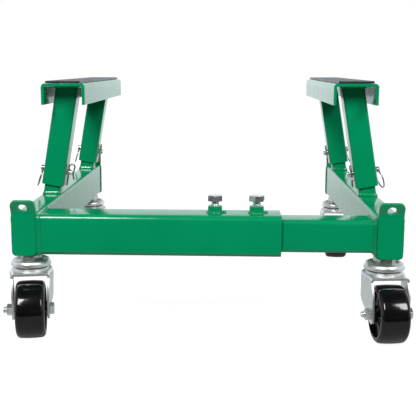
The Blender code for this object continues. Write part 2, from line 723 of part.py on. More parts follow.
rail = rail_mesh()
plate = plate_mesh()
for side, sign in SIDES.items():
    x = to_frame(side, sign * RAIL_CENTRE_X)
    node(f"{side}_rail", rail, GREEN, frames[side], (x, 0, 0))
    node(f"plate_front_{side}", plate, GREEN, frames[side], (x, STAND_FRONT_Y, 0))
    node(f"plate_rear_{side}", plate, GREEN, frames[side], (x, STAND_BACK_Y, 0), (0, 0, math.pi))
node("cross_outer_tube", cross_outer_mesh(), GREEN, frames["left"])
node("cross_inner_tube", cross_inner_mesh(), GREEN, frames["right"])

clamp_nut, clamp_bolt = clamp_nut_mesh(), clamp_bolt_mesh()
for number, x in enumerate(clamp_places(), start=1):
    node(f"clamp_nut_{number}", clamp_nut, GREEN, frames["left"], (x, CROSS_Y, CROSS_TOP))
    turn = (0, 0, math.radians(CLAMP_BOLT_TURN[number - 1]))
    node(f"clamp_bolt_{number}", clamp_bolt, ZINC, frames["left"], (x, CROSS_Y, CROSS_TOP), turn)

post, sleeve = post_mesh(), sleeve_mesh()
saddle, pad = saddle_mesh(), pad_mesh()
pin, ring, clip = pin_mesh(), ring_mesh(), clip_mesh()
arm_places = {"front": ARM_FRONT_Y, "rear": ARM_REAR_Y}
saddle_y = sum(arm_places.values()) / 2
for side, sign in SIDES.items():
    lean = (0, ARM_LEAN, 0) if side == "left" else (0, ARM_LEAN, math.pi)
    carrier = empty(f"{side}_carrier", frames[side])
    x = to_frame(side, sign * SADDLE_X)
    node(f"{side}_saddle", saddle, GREEN, carrier, (x, saddle_y, 0))
    node(f"{side}_pad", pad, RUBBER, carrier, (x, saddle_y, 0))
    for end, y in arm_places.items():
        arm = empty(f"arm_{end}_{side}", frames[side], (to_frame(side, sign * ARM_X), y, RAIL_TOP), lean)
        node(f"post_{end}_{side}", post, GREEN, arm)
        node(f"sleeve_{end}_{side}", sleeve, GREEN, arm)
        node(f"pin_{end}_{side}", pin, ZINC, arm, (0, 0, PIN_HEIGHT))
        node(f"ring_{end}_{side}", ring, ZINC, arm, (RING_HOLE_X, 0, PIN_HEIGHT))
        turn = math.radians(CLIP_TURN.get(f"{end}_{side}", 0.0))
        node(f"clip_{end}_{side}", clip, ZINC, arm, (CLIP_X, 0, PIN_HEIGHT), (0, 0, turn))

cap, ball_ring, fork = cap_mesh(), ball_ring_mesh(), fork_mesh()
wheel, axle_bolt, axle_nut = wheel_mesh(), axle_bolt_mesh(), axle_nut_mesh()
caster_places = {"front": STAND_FRONT_Y + CASTER_FROM_END, "rear": STAND_BACK_Y - CASTER_FROM_END}
for side, sign in SIDES.items():
    for end, y in caster_places.items():
        place = f"{end}_{side}"
        spot = (to_frame(side, sign * RAIL_CENTRE_X), y, 0)
        node(f"cap_{place}", cap, ZINC, frames[side], spot)
        node(f"ball_ring_{place}", ball_ring, ZINC, frames[side], spot)
        swivel = empty(f"swivel_{place}", frames[side], spot, (0, 0, math.radians(SWIVEL[place])))
        node(f"fork_{place}", fork, ZINC, swivel)
        axle = (0, -CASTER_TRAIL, AXLE_Z)
        node(f"wheel_{place}", wheel, WHEEL_BLACK, swivel, axle)
        node(f"axle_bolt_{place}", axle_bolt, ZINC, swivel, axle)
        node(f"axle_nut_{place}", axle_nut, ZINC, swivel, axle)
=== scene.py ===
import json
import math

import bmesh
import bpy
from mathutils import Matrix, Vector, noise

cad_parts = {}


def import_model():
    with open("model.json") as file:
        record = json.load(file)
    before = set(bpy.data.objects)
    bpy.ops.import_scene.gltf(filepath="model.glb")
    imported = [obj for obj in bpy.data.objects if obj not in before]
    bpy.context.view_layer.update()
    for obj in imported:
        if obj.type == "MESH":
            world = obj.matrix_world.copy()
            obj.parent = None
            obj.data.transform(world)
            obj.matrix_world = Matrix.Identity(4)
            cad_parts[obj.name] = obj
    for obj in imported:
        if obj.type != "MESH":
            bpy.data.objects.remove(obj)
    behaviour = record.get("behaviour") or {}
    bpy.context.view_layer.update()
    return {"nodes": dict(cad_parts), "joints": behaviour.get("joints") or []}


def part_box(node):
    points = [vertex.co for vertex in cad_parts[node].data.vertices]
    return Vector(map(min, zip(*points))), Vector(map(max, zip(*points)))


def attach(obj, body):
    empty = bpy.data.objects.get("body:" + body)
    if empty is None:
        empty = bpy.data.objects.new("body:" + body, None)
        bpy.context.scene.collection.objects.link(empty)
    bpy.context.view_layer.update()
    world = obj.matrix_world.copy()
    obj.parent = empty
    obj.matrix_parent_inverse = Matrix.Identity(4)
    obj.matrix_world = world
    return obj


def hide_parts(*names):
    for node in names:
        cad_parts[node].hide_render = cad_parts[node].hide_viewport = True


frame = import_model()
NODES = frame["nodes"]
JOINTS = {joint["name"]: joint for joint in frame["joints"]}
SIDES = ("left", "right")
ENDS = ("front", "rear")
PLACES = [(end, side) for side in SIDES for end in ENDS]

# Camera, in the photograph's frame of 416 pixels
IMAGE_SIZE = 416
SENSOR_WIDTH = 36.0
FOCAL_PIXELS = 791.47
CENTRE_PIXEL = (190.04, 205.77)
CAMERA_PLACE = (0.0241, -1.150, 0.3266)
CAMERA_TILT = math.radians(80.01)
CAMERA_TURN = math.radians(2.64)

# Colours, as linear values
GREEN = (0.0004, 0.268, 0.107)
ZINC = (0.79, 0.805, 0.80)
ZINC_STRAW = (0.82, 0.825, 0.805)
RUBBER = (0.022, 0.021, 0.022)
WHEEL = (0.0035, 0.0035, 0.004)
# Ball races: dark grey that is painted shade for the narrow gap under each cap
RACE_GAP_SHADE = (0.09, 0.085, 0.075)
WIRE = (0.36, 0.37, 0.37)

# Painted shade on pressings that look down: how dark it makes their base colour, and the range of the
# normal's height over which it comes in
PAINTED_UNDERSIDE_SHADE = 0.12
FACING_DOWN_FOR_SHADE = (-0.8, -0.4)

# Range in which most of a noise pattern lies
NOISE_MIDDLE = (0.3, 0.7)

# Edges and shading. Widths are those of the softened edges
SAME_POINT = 1e-6
JOIN_DISTANCE = 1e-5
EDGE_WIDTH = 0.0005
PLATE_EDGE = 0.0011
FORK_EDGE = 0.0004
RACE_EDGE = 0.0001
BOLT_EDGE = 0.0003
NUT_EDGE = 0.0004
FINE_EDGE = 0.0002
EDGE_SEGMENTS = 2
EDGE_ANGLE = math.radians(42)


# Small helpers

def local_box(node, place):
    """Lowest and highest corner of a CAD node in a local frame."""
    inverse = place.inverted()
    points = [inverse @ vertex.co for vertex in NODES[node].data.vertices]
    low = Vector(map(min, zip(*points)))
    high = Vector(map(max, zip(*points)))
    return low, high


def basis(origin, x, z):
    """A placing matrix from an origin and two directions."""
    x = Vector(x).normalized()
    z = Vector(z).normalized()
    made = Matrix((x, z.cross(x), z)).transposed().to_4x4()
    made.translation = origin
    return made


def arc(centre, radius, start, end, steps):
    """Points on an arc, with angles in degrees."""
    angles = [math.radians(start + (end - start) * i / steps) for i in range(steps + 1)]
    return [(centre[0] + radius * math.cos(a), centre[1] + radius * math.sin(a)) for a in angles]


def rounded_rectangle(width, height, radius, steps=6):
    """Points of a rectangle with round corners, about the origin."""
    x, y = width / 2 - radius, height / 2 - radius
    points = []
    for (cx, cy), start in (((x, y), 0), ((-x, y), 90), ((-x, -y), 180), ((x, -y), 270)):
        points += arc((cx, cy), radius, start, start + 90, steps)
    return points


def mesh_from(vertices, faces):
    """A mesh with its double points joined and its faces turned outwards."""
    mesh = bpy.data.meshes.new("shape")
    mesh.from_pydata(vertices, [], faces)
    mesh.validate()
    work = bmesh.new()
    work.from_mesh(mesh)
    bmesh.ops.remove_doubles(work, verts=work.verts, dist=SAME_POINT)
    bmesh.ops.recalc_face_normals(work, faces=work.faces)
    work.to_mesh(mesh)
    work.free()
    return mesh


def turned(profile, steps, closed=False):
    """A profile of (radius, height) points turned about Z."""
    count = len(profile)
    vertices = []
    for i in range(steps):
        a = 2 * math.pi * i / steps
        vertices += [(r * math.cos(a), r * math.sin(a), z) for r, z in profile]
    faces = []
    for i in range(steps):
        here, there = i * count, (i + 1) % steps * count
        for j in range(count if closed else count - 1):
            k = (j + 1) % count
            faces.append((here + j, there + j, there + k, here + k))
    return mesh_from(vertices, faces)


def prism(outline, low, high):
    """A flat outline extruded along Z."""
    count = len(outline)
    vertices = [(x, y, low) for x, y in outline] + [(x, y, high) for x, y in outline]
    faces = [(i, (i + 1) % count, count + (i + 1) % count, count + i) for i in range(count)]
    faces += [tuple(reversed(range(count))), tuple(range(count, 2 * count))]
    return mesh_from(vertices, faces)


def swept(points, radius_at, sides, closed=False):
    """A round tube along points. radius_at gives its radius from the point's number and the way along."""
    points = [Vector(p) for p in points]
    count = len(points)
    ahead = [points[(i + 1) % count] if closed or i + 1 < count else points[i] for i in range(count)]
    behind = [points[i - 1] if closed or i else points[0] for i in range(count)]
    tangents = [(a - b).normalized() for a, b in zip(ahead, behind)]
    side = tangents[0].orthogonal().normalized()
    vertices, way = [], 0.0
    for i in range(count):
        side = (side - tangents[i] * side.dot(tangents[i])).normalized()
        other = tangents[i].cross(side)
        if i:
            way += (points[i] - points[i - 1]).length
        radius = radius_at(i, way)
        for k in range(sides):
            a = 2 * math.pi * k / sides
            vertices.append(points[i] + radius * (math.cos(a) * side + math.sin(a) * other))
    faces = []
    for i in range(count if closed else count - 1):
        here, there = i * sides, (i + 1) % count * sides
        for k in range(sides):
            j = (k + 1) % sides
            faces.append((here + k, here + j, there + j, there + k))
    if not closed:
        faces += [tuple(reversed(range(sides))), tuple(range((count - 1) * sides, count * sides))]
    return mesh_from(vertices, faces)


def resampled(points, step, closed=False):
    """Points at an even step along straight runs."""
    points = [Vector(p) for p in points]
    if closed:
        points.append(points[0])
    made = []
    for a, b in zip(points, points[1:]):
        parts = max(1, round((b - a).length / step))
        made += [a.lerp(b, i / parts) for i in range(parts)]
    return made if closed else made + [points[-1]]


def combined(mesh, others, operation):
    """One mesh joined with, cut by or trimmed by others."""
    objects = [bpy.data.objects.new("shape", m) for m in [mesh, *others]]
    for obj in objects:
        bpy.context.scene.collection.objects.link(obj)
    for other in objects[1:]:
        modifier = objects[0].modifiers.new("shape", "BOOLEAN")
        modifier.operation = operation
        modifier.object = other
    bpy.context.view_layer.update()
    graph = bpy.context.evaluated_depsgraph_get()
    made = bpy.data.meshes.new_from_object(objects[0].evaluated_get(graph))
    for obj in objects:
        bpy.data.objects.remove(obj)
    return made


def together(*meshes):
    """Several meshes as one, each kept as its own closed body."""
    work = bmesh.new()
    for mesh in meshes:
        work.from_mesh(mesh)
    made = bpy.data.meshes.new("shape")
    work.to_mesh(made)
    work.free()
    return made


def moved(mesh, matrix):
    """The same mesh, put elsewhere."""
    mesh.transform(matrix)
    return mesh


def even_shading(obj):
    """Flat faces stay flat and the narrow ones between them blend."""
    for polygon in obj.data.polygons:
        polygon.use_smooth = True
    obj.modifiers.new("even_shading", "WEIGHTED_NORMAL")


def softened(obj, width):
    """Soft edges wherever two faces meet at more than the edge angle."""
    edges = obj.modifiers.new("soft_edges", "BEVEL")
    edges.limit_method = "ANGLE"
    edges.angle_limit = EDGE_ANGLE
    edges.width = width
    edges.segments = EDGE_SEGMENTS


def dress(node, material, width=EDGE_WIDTH):
    """A carried-over CAD node with soft edges and a finish."""
    obj = NODES[node]
    obj.data.materials.clear()
    obj.data.materials.append(material)
    joined = obj.modifiers.new("joined_faces", "WELD")
    joined.merge_threshold = JOIN_DISTANCE
    softened(obj, width)
    even_shading(obj)


def piece(name, mesh, material, body, place=Matrix(), stands_for=None, soft=0.0):
    """A piece that rides on a body, and may stand for a CAD node."""
    obj = bpy.data.objects.new(name, mesh)
    bpy.context.scene.collection.objects.link(obj)
    obj.data.materials.clear()
    obj.data.materials.append(material)
    obj.matrix_world = place
    if soft:
        softened(obj, soft)
    even_shading(obj)
    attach(obj, body)
    if stands_for:
        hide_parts(stands_for)
    return obj


# Materials

def new_material(name, colour, roughness, metallic=0.0, ior=1.5):
    """A plain finish, which the ones below build on."""
    made = bpy.data.materials.new(name)
    made.use_nodes = True
    shader = made.node_tree.nodes["Principled BSDF"]
    shader.inputs["Base Color"].default_value = (*colour, 1)
    shader.inputs["Roughness"].default_value = roughness
    shader.inputs["Metallic"].default_value = metallic
    shader.inputs["IOR"].default_value = ior
    return made


def noise_texture(material, scale, detail=3.0):
    """A pattern fixed to the object, with its scale in waves per metre."""
    nodes, links = material.node_tree.nodes, material.node_tree.links
    place = nodes.new("ShaderNodeTexCoord")
    texture = nodes.new("ShaderNodeTexNoise")
    texture.inputs["Scale"].default_value = scale
    texture.inputs["Detail"].default_value = detail
    links.new(place.outputs["Object"], texture.inputs["Vector"])
    return texture.outputs["Fac"]


def ramp(owner, value, stops):
    """A colour ramp over a value, from (position, colour) stops. The first two are its ends."""
    nodes, links = owner.node_tree.nodes, owner.node_tree.links
    made = nodes.new("ShaderNodeValToRGB")
    elements = made.color_ramp.elements
    for element, (position, colour) in zip(elements, stops):
        element.position = position
        element.color = (*colour, 1)
    for position, colour in stops[2:]:
        elements.new(position).color = (*colour, 1)
    links.new(value, made.inputs["Fac"])
    return made.outputs["Color"]


def map_range(owner, value, source, target):
    """A value mapped from one range to another, held at its ends."""
    made = owner.node_tree.nodes.new("ShaderNodeMapRange")
    names = ("From Min", "From Max", "To Min", "To Max")
    for name, level in zip(names, (*source, *target)):
        made.inputs[name].default_value = level
    owner.node_tree.links.new(value, made.inputs["Value"])
    return made.outputs["Result"]


def multiplied(owner, first, second):
    """Two colours multiplied."""
    made = owner.node_tree.nodes.new("ShaderNodeMix")
    made.data_type = "RGBA"
    made.blend_type = "MULTIPLY"
    made.inputs["Factor"].default_value = 1.0
    owner.node_tree.links.new(first, made.inputs["A"])
    owner.node_tree.links.new(second, made.inputs["B"])
    return made.outputs["Result"]


def bumped(material, height, strength, distance):
    """Fine relief added to the surface's normal."""
    nodes, links = material.node_tree.nodes, material.node_tree.links
    bump = nodes.new("ShaderNodeBump")
    bump.inputs["Strength"].default_value = strength
    bump.inputs["Distance"].default_value = distance
    links.new(height, bump.inputs["Height"])
    shader = nodes["Principled BSDF"]
    links.new(bump.outputs["Normal"], shader.inputs["Normal"])


def link_input(material, name, value):
    """Feeds a value into the finish."""
    shader = material.node_tree.nodes["Principled BSDF"]
    material.node_tree.links.new(value, shader.inputs[name])


def shade(colour, factor):
    """A colour made lighter or darker."""
    return tuple(channel * factor for channel in colour)


def uneven_gloss(material, scale, least, most):
    """Roughness that wanders between two values."""
    patches = noise_texture(material, scale)
    link_input(material, "Roughness", map_range(material, patches, NOISE_MIDDLE, (least, most)))


def green_paint():
    """Gloss powder coat: faint orange peel, a little unevenness of colour and gloss."""
    made = new_material("green_paint_look", GREEN, roughness=0.14, ior=1.45)
    clouds = noise_texture(made, scale=14.0)
    tones = [(0.3, shade(GREEN, 0.95)), (0.7, shade(GREEN, 1.04))]
    link_input(made, "Base Color", ramp(made, clouds, tones))
    uneven_gloss(made, scale=60.0, least=0.10, most=0.17)
    bumped(made, noise_texture(made, scale=420.0, detail=2.0), strength=0.05, distance=0.0006)
    return made


def zinc_plate(name, least, most):
    """Zinc plate on steel: cloudy gloss, faint grain and a hint of blue and straw."""
    made = new_material(name, ZINC, least, metallic=0.9)
    clouds = noise_texture(made, scale=55.0)
    tones = [(0.3, shade(ZINC, 0.92)), (0.7, ZINC_STRAW), (0.5, ZINC)]
    link_input(made, "Base Color", ramp(made, clouds, tones))
    uneven_gloss(made, 180.0, least, most)
    bumped(made, noise_texture(made, scale=900.0, detail=4.0), strength=0.06, distance=0.0003)
    return made


def paint_underside_shade(material):
    """Painted shade: faces that look down get a darker base colour than the rest."""
    nodes, links = material.node_tree.nodes, material.node_tree.links
    place = nodes.new("ShaderNodeNewGeometry")
    split = nodes.new("ShaderNodeSeparateXYZ")
    links.new(place.outputs["Normal"], split.inputs["Vector"])
    level = map_range(material, split.outputs["Z"], FACING_DOWN_FOR_SHADE, (PAINTED_UNDERSIDE_SHADE, 1.0))
    colour = nodes["Principled BSDF"].inputs["Base Color"]
    links.new(multiplied(material, colour.links[0].from_socket, level), colour)


def black_rubber():
    """Matt ribbed rubber with a chalky bloom."""
    made = new_material("black_rubber_look", RUBBER, roughness=0.40)
    bloom = noise_texture(made, scale=90.0, detail=5.0)
    tones = [(0.35, shade(RUBBER, 0.8)), (0.75, shade(RUBBER, 1.8))]
    link_input(made, "Base Color", ramp(made, bloom, tones))
    uneven_gloss(made, scale=240.0, least=0.30, most=0.45)
    bumped(made, noise_texture(made, scale=1500.0), strength=0.25, distance=0.0004)
    return made


def wheel_black():
    """Hard gloss moulding, slightly uneven."""
    made = new_material("wheel_black_look", WHEEL, roughness=0.12, ior=1.45)
    clouds = noise_texture(made, scale=40.0)
    link_input(made, "Base Color", ramp(made, clouds, [(0.3, WHEEL), (0.7, shade(WHEEL, 1.5))]))
    uneven_gloss(made, scale=120.0, least=0.08, most=0.15)
    bumped(made, noise_texture(made, scale=260.0, detail=2.0), strength=0.05, distance=0.0006)
    return made


def race_painted_shade():
    """Steel of the ball races, made dark grey as painted shade for the narrow gap under the cap."""
    made = new_material("ball_race_painted_shade_look", RACE_GAP_SHADE, roughness=0.35, metallic=0.6)
    uneven_gloss(made, scale=300.0, least=0.25, most=0.45)
    return made


def spring_wire():
    """Plated spring wire, greyer than the pressings."""
    made = new_material("spring_wire_look", WIRE, roughness=0.25, metallic=0.9)
    uneven_gloss(made, scale=200.0, least=0.18, most=0.32)
    return made


PAINT_LOOK = green_paint()
ZINC_LOOK = zinc_plate("bright_zinc_look", least=0.20, most=0.30)
PRESSED_LOOK = zinc_plate("pressed_zinc_painted_shade_look", least=0.32, most=0.44)
# The pressings' downward faces get painted shade in their base colour.
paint_underside_shade(PRESSED_LOOK)
RUBBER_LOOK = black_rubber()
WHEEL_LOOK = wheel_black()
RACE_SHADE_LOOK = race_painted_shade()
WIRE_LOOK = spring_wire()


# Local frames, from the joints

def arm_place(end, side):
    """Origin on the arm's axis at the pin, x along the pin to the stand's middle, z up the arm."""
    z = Vector(JOINTS[f"{side}_height_slide"]["axis"])
    x = -Vector(JOINTS[f"pin_{end}_{side}_pull"]["axis"])
    ring = Vector(JOINTS[f"ring_{end}_{side}_swing"]["pos_m"])
    low, high = local_box(f"sleeve_{end}_{side}", basis(ring, x, z))
    return basis(ring + x * (low.x + high.x) / 2, x, z)


def swivel_place(end, side):
    """Origin on the floor under the swivel, x along the wheel's axle."""
    pos = Vector(JOINTS[f"caster_{end}_{side}_swivel"]["pos_m"])
    return basis((pos.x, pos.y, 0), JOINTS[f"wheel_{end}_{side}_roll"]["axis"], (0, 0, 1))


def wheel_place(end, side):
    """Origin at the wheel's centre, x along its axle."""
    roll = JOINTS[f"wheel_{end}_{side}_roll"]
    return basis(roll["pos_m"], roll["axis"], (0, 0, 1))


ALONG_X = Matrix.Rotation(math.pi / 2, 4, "Y")
SHIFT = Matrix.Translation


# Painted frame, carried over with soft edges

for side in SIDES:
    for node in (f"{side}_rail", f"{side}_saddle"):
        dress(node, PAINT_LOOK)
    for node in (f"plate_front_{side}", f"plate_rear_{side}"):
        dress(node, PAINT_LOOK, PLATE_EDGE)
for end, side in PLACES:
    dress(f"post_{end}_{side}", PAINT_LOOK)
    dress(f"sleeve_{end}_{side}", PAINT_LOOK)
for node in ("cross_outer_tube", "cross_inner_tube"):
    dress(node, PAINT_LOOK)
for end, side in PLACES:
    dress(f"fork_{end}_{side}", PRESSED_LOOK, FORK_EDGE)
    # The ball races' dark grey is painted shade for the gap under each cap.
    dress(f"ball_ring_{end}_{side}", RACE_SHADE_LOOK, RACE_EDGE)


# Weld beads

BEAD_STEP = 0.0007
BEAD_PITCH = 0.0021
BEAD_RIPPLE = 0.16
BEAD_WANDER = 0.22
BEAD_NOISE = 260
BEAD_SIDES = 10
PLATE_BEAD = 0.0016
RAIL_CORNER = 0.004
ARM_CORNER = 0.0032
TUBE_CORNER = 0.006

# Fillets: how far each rises and reaches, and how hollow it is
FILLETS = {
    "post": (0.0045, 0.0015, 1.5),
    "sleeve": (0.0026, 0.0022, 1.15),
    "cross_outer_tube": (0.0046, 0.0028, 1.15),
    "cross_inner_tube": (0.0062, 0.0052, 3.0),
}
FILLET_STEPS = 6
FILLET_RIPPLE = 0.05
FILLET_WANDER = 0.14
FILLET_NOISE = 160
FILLET_ROOT = 0.0006
FILLET_PROUD = 0.0004


def bead_mesh(points, radius, closed=True):
    """A rippled weld bead along points."""
    path = resampled(points, BEAD_STEP, closed)

    def radius_at(i, way):
        ripple = abs(math.sin(math.pi * way / BEAD_PITCH))
        wander = noise.noise(path[i] * BEAD_NOISE)
        return radius * (1 - BEAD_RIPPLE + BEAD_RIPPLE * ripple + BEAD_WANDER * wander)

    return swept(path, radius_at, BEAD_SIDES, closed)


def bead(name, points, radius, body, closed=True):
    """A painted weld bead that rides on a body."""
    return piece(name, bead_mesh(points, radius, closed), PAINT_LOOK, body)


def fillet_mesh(centre, up, width, depth, corner, rise, reach, hollow):
    """A weld fillet round the foot of a leaning tube, from its wall to the flat that it stands on."""
    corners = rounded_rectangle(width, depth, corner)
    outline = resampled([(x, y, 0) for x, y in corners], BEAD_STEP, closed=True)
    vertices, count = [], len(outline)
    for i, here in enumerate(outline):
        along = (outline[(i + 1) % count] - outline[i - 1]).normalized()
        outward = Vector((along.y, -along.x, 0))
        ripple = FILLET_RIPPLE * abs(math.sin(math.pi * i * BEAD_STEP / BEAD_PITCH))
        size = 1 - FILLET_RIPPLE / 2 + ripple + FILLET_WANDER * noise.noise((here + centre) * FILLET_NOISE)
        section = [(-FILLET_ROOT, 0), (-FILLET_ROOT, rise * size)]
        for k in range(FILLET_STEPS + 1):
            a = math.pi / 2 * k / FILLET_STEPS
            across = reach * size * math.sin(a) ** hollow
            high = rise * size * max(0.0, math.cos(a)) ** hollow
            section.append((across, high))
        vertices += [centre + here + outward * across + up * high for across, high in section]
    rows = len(section)
    faces = []
    for i in range(count):
        here, there = i * rows, (i + 1) % count * rows
        for j in range(rows):
            k = (j + 1) % rows
            faces.append((here + j, there + j, there + k, here + k))
    return mesh_from(vertices, faces)


for end, side in PLACES:
    arm = arm_place(end, side)
    up = arm.to_3x3() @ Vector((0, 0, 1))
    seats = (
        ("post", f"{side}_frame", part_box(f"{side}_rail")[1].z, up),
        ("sleeve", f"{side}_carrier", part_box(f"sleeve_{end}_{side}")[1].z, -up),
    )
    for name, body, height, away in seats:
        low, high = local_box(f"{name}_{end}_{side}", arm)
        size = high.y - low.y
        centre = arm.translation + up * (height - arm.translation.z) / up.z
        fillet = fillet_mesh(centre, away, size / up.z, size, ARM_CORNER, *FILLETS[name])
        piece(f"weld_{name}_{end}_{side}", fillet, PAINT_LOOK, body)

for end, side in PLACES:
    low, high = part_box(f"{side}_rail")
    y = low.y if end == "front" else high.y
    middle_x, middle_z = (low.x + high.x) / 2, (low.z + high.z) / 2
    section = rounded_rectangle(high.x - low.x, high.z - low.z, RAIL_CORNER)
    loop = [(middle_x + a, y, middle_z + b) for a, b in section]
    bead(f"weld_plate_{end}_{side}", loop, PLATE_BEAD, f"{side}_frame")

for node, side in (("cross_outer_tube", "left"), ("cross_inner_tube", "right")):
    low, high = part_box(node)
    rail_low, rail_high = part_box(f"{side}_rail")
    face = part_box(f"plate_front_{side}")[0].y
    x, away = (low.x, 1) if side == "left" else (high.x, -1)
    middle = (low + high) / 2
    place = basis((x, middle.y, middle.z), (0, 1, 0), (away, 0, 0))
    size = high - low
    fillet = fillet_mesh(Vector(), Vector((0, 0, 1)), size.y, size.z, TUBE_CORNER, *FILLETS[node])
    moved(fillet, place)
    for vertex in fillet.vertices:
        vertex.co.y = max(vertex.co.y, face - FILLET_PROUD)
        vertex.co.z = max(vertex.co.z, rail_low.z - FILLET_PROUD)
        vertex.co.z = min(vertex.co.z, rail_high.z + FILLET_PROUD)
    piece(f"weld_{node}", fillet, PAINT_LOOK, f"{side}_frame")


# Threaded parts

THREAD_STEPS = 20
THREAD_ROWS = 6
THREAD_SHARE = 0.61
THREAD_FLAT = 1.25
THREAD_LEAST_ROWS = 4
HEX_STEPS = 8
HEX_FLAT = 0.97
HEX_CHAMFER = math.radians(30)


def hex_block(across_flats, low, high, chamfer_low, chamfer_high, bore=0.0):
    """A hexagon along Z, turned off at 30 degrees at one or both ends, and bored if a bore is given."""
    count = 6 * HEX_STEPS
    angles = [2 * math.pi * i / count for i in range(count)]
    reach = [across_flats / 2 / math.cos(a % (math.pi / 3) - math.pi / 6) for a in angles]
    flat = HEX_FLAT * across_flats / 2
    rows = []
    for end, way, chamfered in ((high, -1, chamfer_high), (low, 1, chamfer_low)):
        slope = math.tan(HEX_CHAMFER) if chamfered else 0.0
        made = [[(bore, end)] * count] if bore else []
        made += [[(flat, end)] * count] if chamfered else []
        made.append([(r, end + way * (r - flat) * slope) for r in reach])
        rows += made if way < 0 else made[::-1]
    vertices = [(r * math.cos(a), r * math.sin(a), z) for row in rows for a, (r, z) in zip(angles, row)]
    sides = bool(bore) + bool(chamfer_high)
    faces = []
    for j in range(len(rows) - 1):
        here, there = j * count, (j + 1) * count
        step = HEX_STEPS if j == sides else 1
        for k in range(0, count, step):
            run = [(k + i) % count for i in range(step + 1)]
            faces.append(tuple(here + i for i in run) + tuple(there + i for i in reversed(run)))
    last = (len(rows) - 1) * count
    if bore:
        faces += [(last + i, last + (i + 1) % count, (i + 1) % count, i) for i in range(count)]
    else:
        faces += [tuple(range(count)), tuple(range(last, last + count))]
    return mesh_from(vertices, faces)


def hex_turn(node, centre):
    """How far a node's upright hexagon is turned, and its width across flats."""
    points = [(vertex.co - centre).to_2d() for vertex in NODES[node].data.vertices]
    corner = max(points, key=lambda point: point.length)
    return math.atan2(corner.y, corner.x), corner.length * math.sqrt(3)


def thread(radius, pitch, low, high):
    """A screw thread along Z, with tapered ends."""
    depth = THREAD_SHARE * pitch
    rows = max(THREAD_LEAST_ROWS, int((high - low) / pitch * THREAD_ROWS))
    vertices = []
    for j in range(rows + 1):
        z = low + (high - low) * j / rows
        ends = min(1.0, (z - low) / pitch, (high - z) / pitch)
        for i in range(THREAD_STEPS):
            share = i / THREAD_STEPS
            phase = (z / pitch - share) % 1.0
            crest = 1 - abs(2 * phase - 1)
            r = radius - depth + depth * max(0.0, ends) * min(1.0, THREAD_FLAT * crest)
            a = 2 * math.pi * share
            vertices.append((r * math.cos(a), r * math.sin(a), z))
    faces = []
    for j in range(rows):
        for i in range(THREAD_STEPS):
            k = (i + 1) % THREAD_STEPS
            row, above = j * THREAD_STEPS, (j + 1) * THREAD_STEPS
            faces.append((row + i, row + k, above + k, above + i))
    faces.append(tuple(reversed(range(THREAD_STEPS))))
    faces.append(tuple(range(rows * THREAD_STEPS, (rows + 1) * THREAD_STEPS)))
    return mesh_from(vertices, faces)


# Clamp bolts and their welded nuts

CLAMP_PITCH = 0.0015
CLAMP_HEAD = 0.007
CLAMP_SHANK = 0.005
SHANK_END = 0.8
THREAD_GAP = 0.0002
NUT_BEAD = 0.0017
NUT_BEAD_END = 345
NUT_BEAD_STEPS = 40
NUT_TAIL = 0.0045

for number in (1, 2):
    low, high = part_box(f"clamp_bolt_{number}")
    middle = (low + high) / 2
    name = f"clamp_bolt_{number}"
    turn, across = hex_turn(name, middle)
    place = SHIFT((middle.x, middle.y, 0)) @ Matrix.Rotation(turn, 4, "Z")
    head = hex_block(across, high.z - CLAMP_HEAD, high.z, False, True)
    shank = thread(CLAMP_SHANK, CLAMP_PITCH, low.z, high.z - CLAMP_HEAD * SHANK_END)
    bolt = together(head, shank)
    piece(f"{name}_threaded", bolt, ZINC_LOOK, name, place, name, BOLT_EDGE)

    name = f"clamp_nut_{number}"
    low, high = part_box(name)
    turn, across = hex_turn(name, middle)
    place = SHIFT((middle.x, middle.y, 0)) @ Matrix.Rotation(turn, 4, "Z")
    nut = hex_block(across, low.z, high.z, True, True, CLAMP_SHANK + THREAD_GAP)
    piece(f"{name}_painted", nut, PAINT_LOOK, "left_frame", place, name, NUT_EDGE)
    reach = across / 2 + NUT_BEAD / 3
    round_nut = arc((middle.x, middle.y), reach, 0, NUT_BEAD_END, NUT_BEAD_STEPS)
    foot = [(x, y, low.z) for x, y in round_nut]
    tail = [(middle.x + reach + NUT_TAIL * share, middle.y, low.z) for share in (1.0, 0.5)]
    bead(f"weld_clamp_nut_{number}", tail + foot, NUT_BEAD, "left_frame", closed=False)


# Height pins, pull rings and clips

PIN_CHAMFER = 0.001
PIN_STEPS = 32
PIN_SLOT = 0.0013
RING_HOLE = 0.002
RING_HOLE_STEPS = 24
SPLIT_WIRE = 0.0007
SPLIT_TURNS = 2
SPLIT_STEPS = 48
SPLIT_SIDES = 10
SPLIT_START = math.pi / 3
CLIP_WIRE = 0.00115
CLIP_SIDES = 12
CLIP_GAP = 0.0003
CLIP_OFFSET = 0.0065
CLIP_EYE = 0.004
CLIP_EYE_ARC = (205, -25, 12)
CLIP_FLARE = 0.002
CLIP_STEPS = 4
CLIP_TURN = {"front_left": math.radians(-70)}


def pin_mesh(low, high, radius, slot_low, hole_x):
    """A zinc pin along X with chamfered ends, a ring hole and a slot for the clip."""
    thin = radius - PIN_CHAMFER
    profile = [(0, high), (thin, high), (radius, high - PIN_CHAMFER)]
    profile += [(radius, low + PIN_CHAMFER), (thin, low), (0, low)]
    pin = moved(turned(profile, PIN_STEPS), ALONG_X)
    past = 2 * radius
    outline = [(-past, -PIN_SLOT), (past, -PIN_SLOT), (past, PIN_SLOT), (-past, PIN_SLOT)]
    slot = moved(prism(outline, slot_low, past + high), ALONG_X)
    hole = turned([(0, past), (RING_HOLE, past), (RING_HOLE, -past), (0, -past)], RING_HOLE_STEPS)
    moved(hole, SHIFT((hole_x, 0, 0)) @ Matrix.Rotation(math.pi / 2, 4, "X"))
    return combined(pin, [slot, hole], "DIFFERENCE")


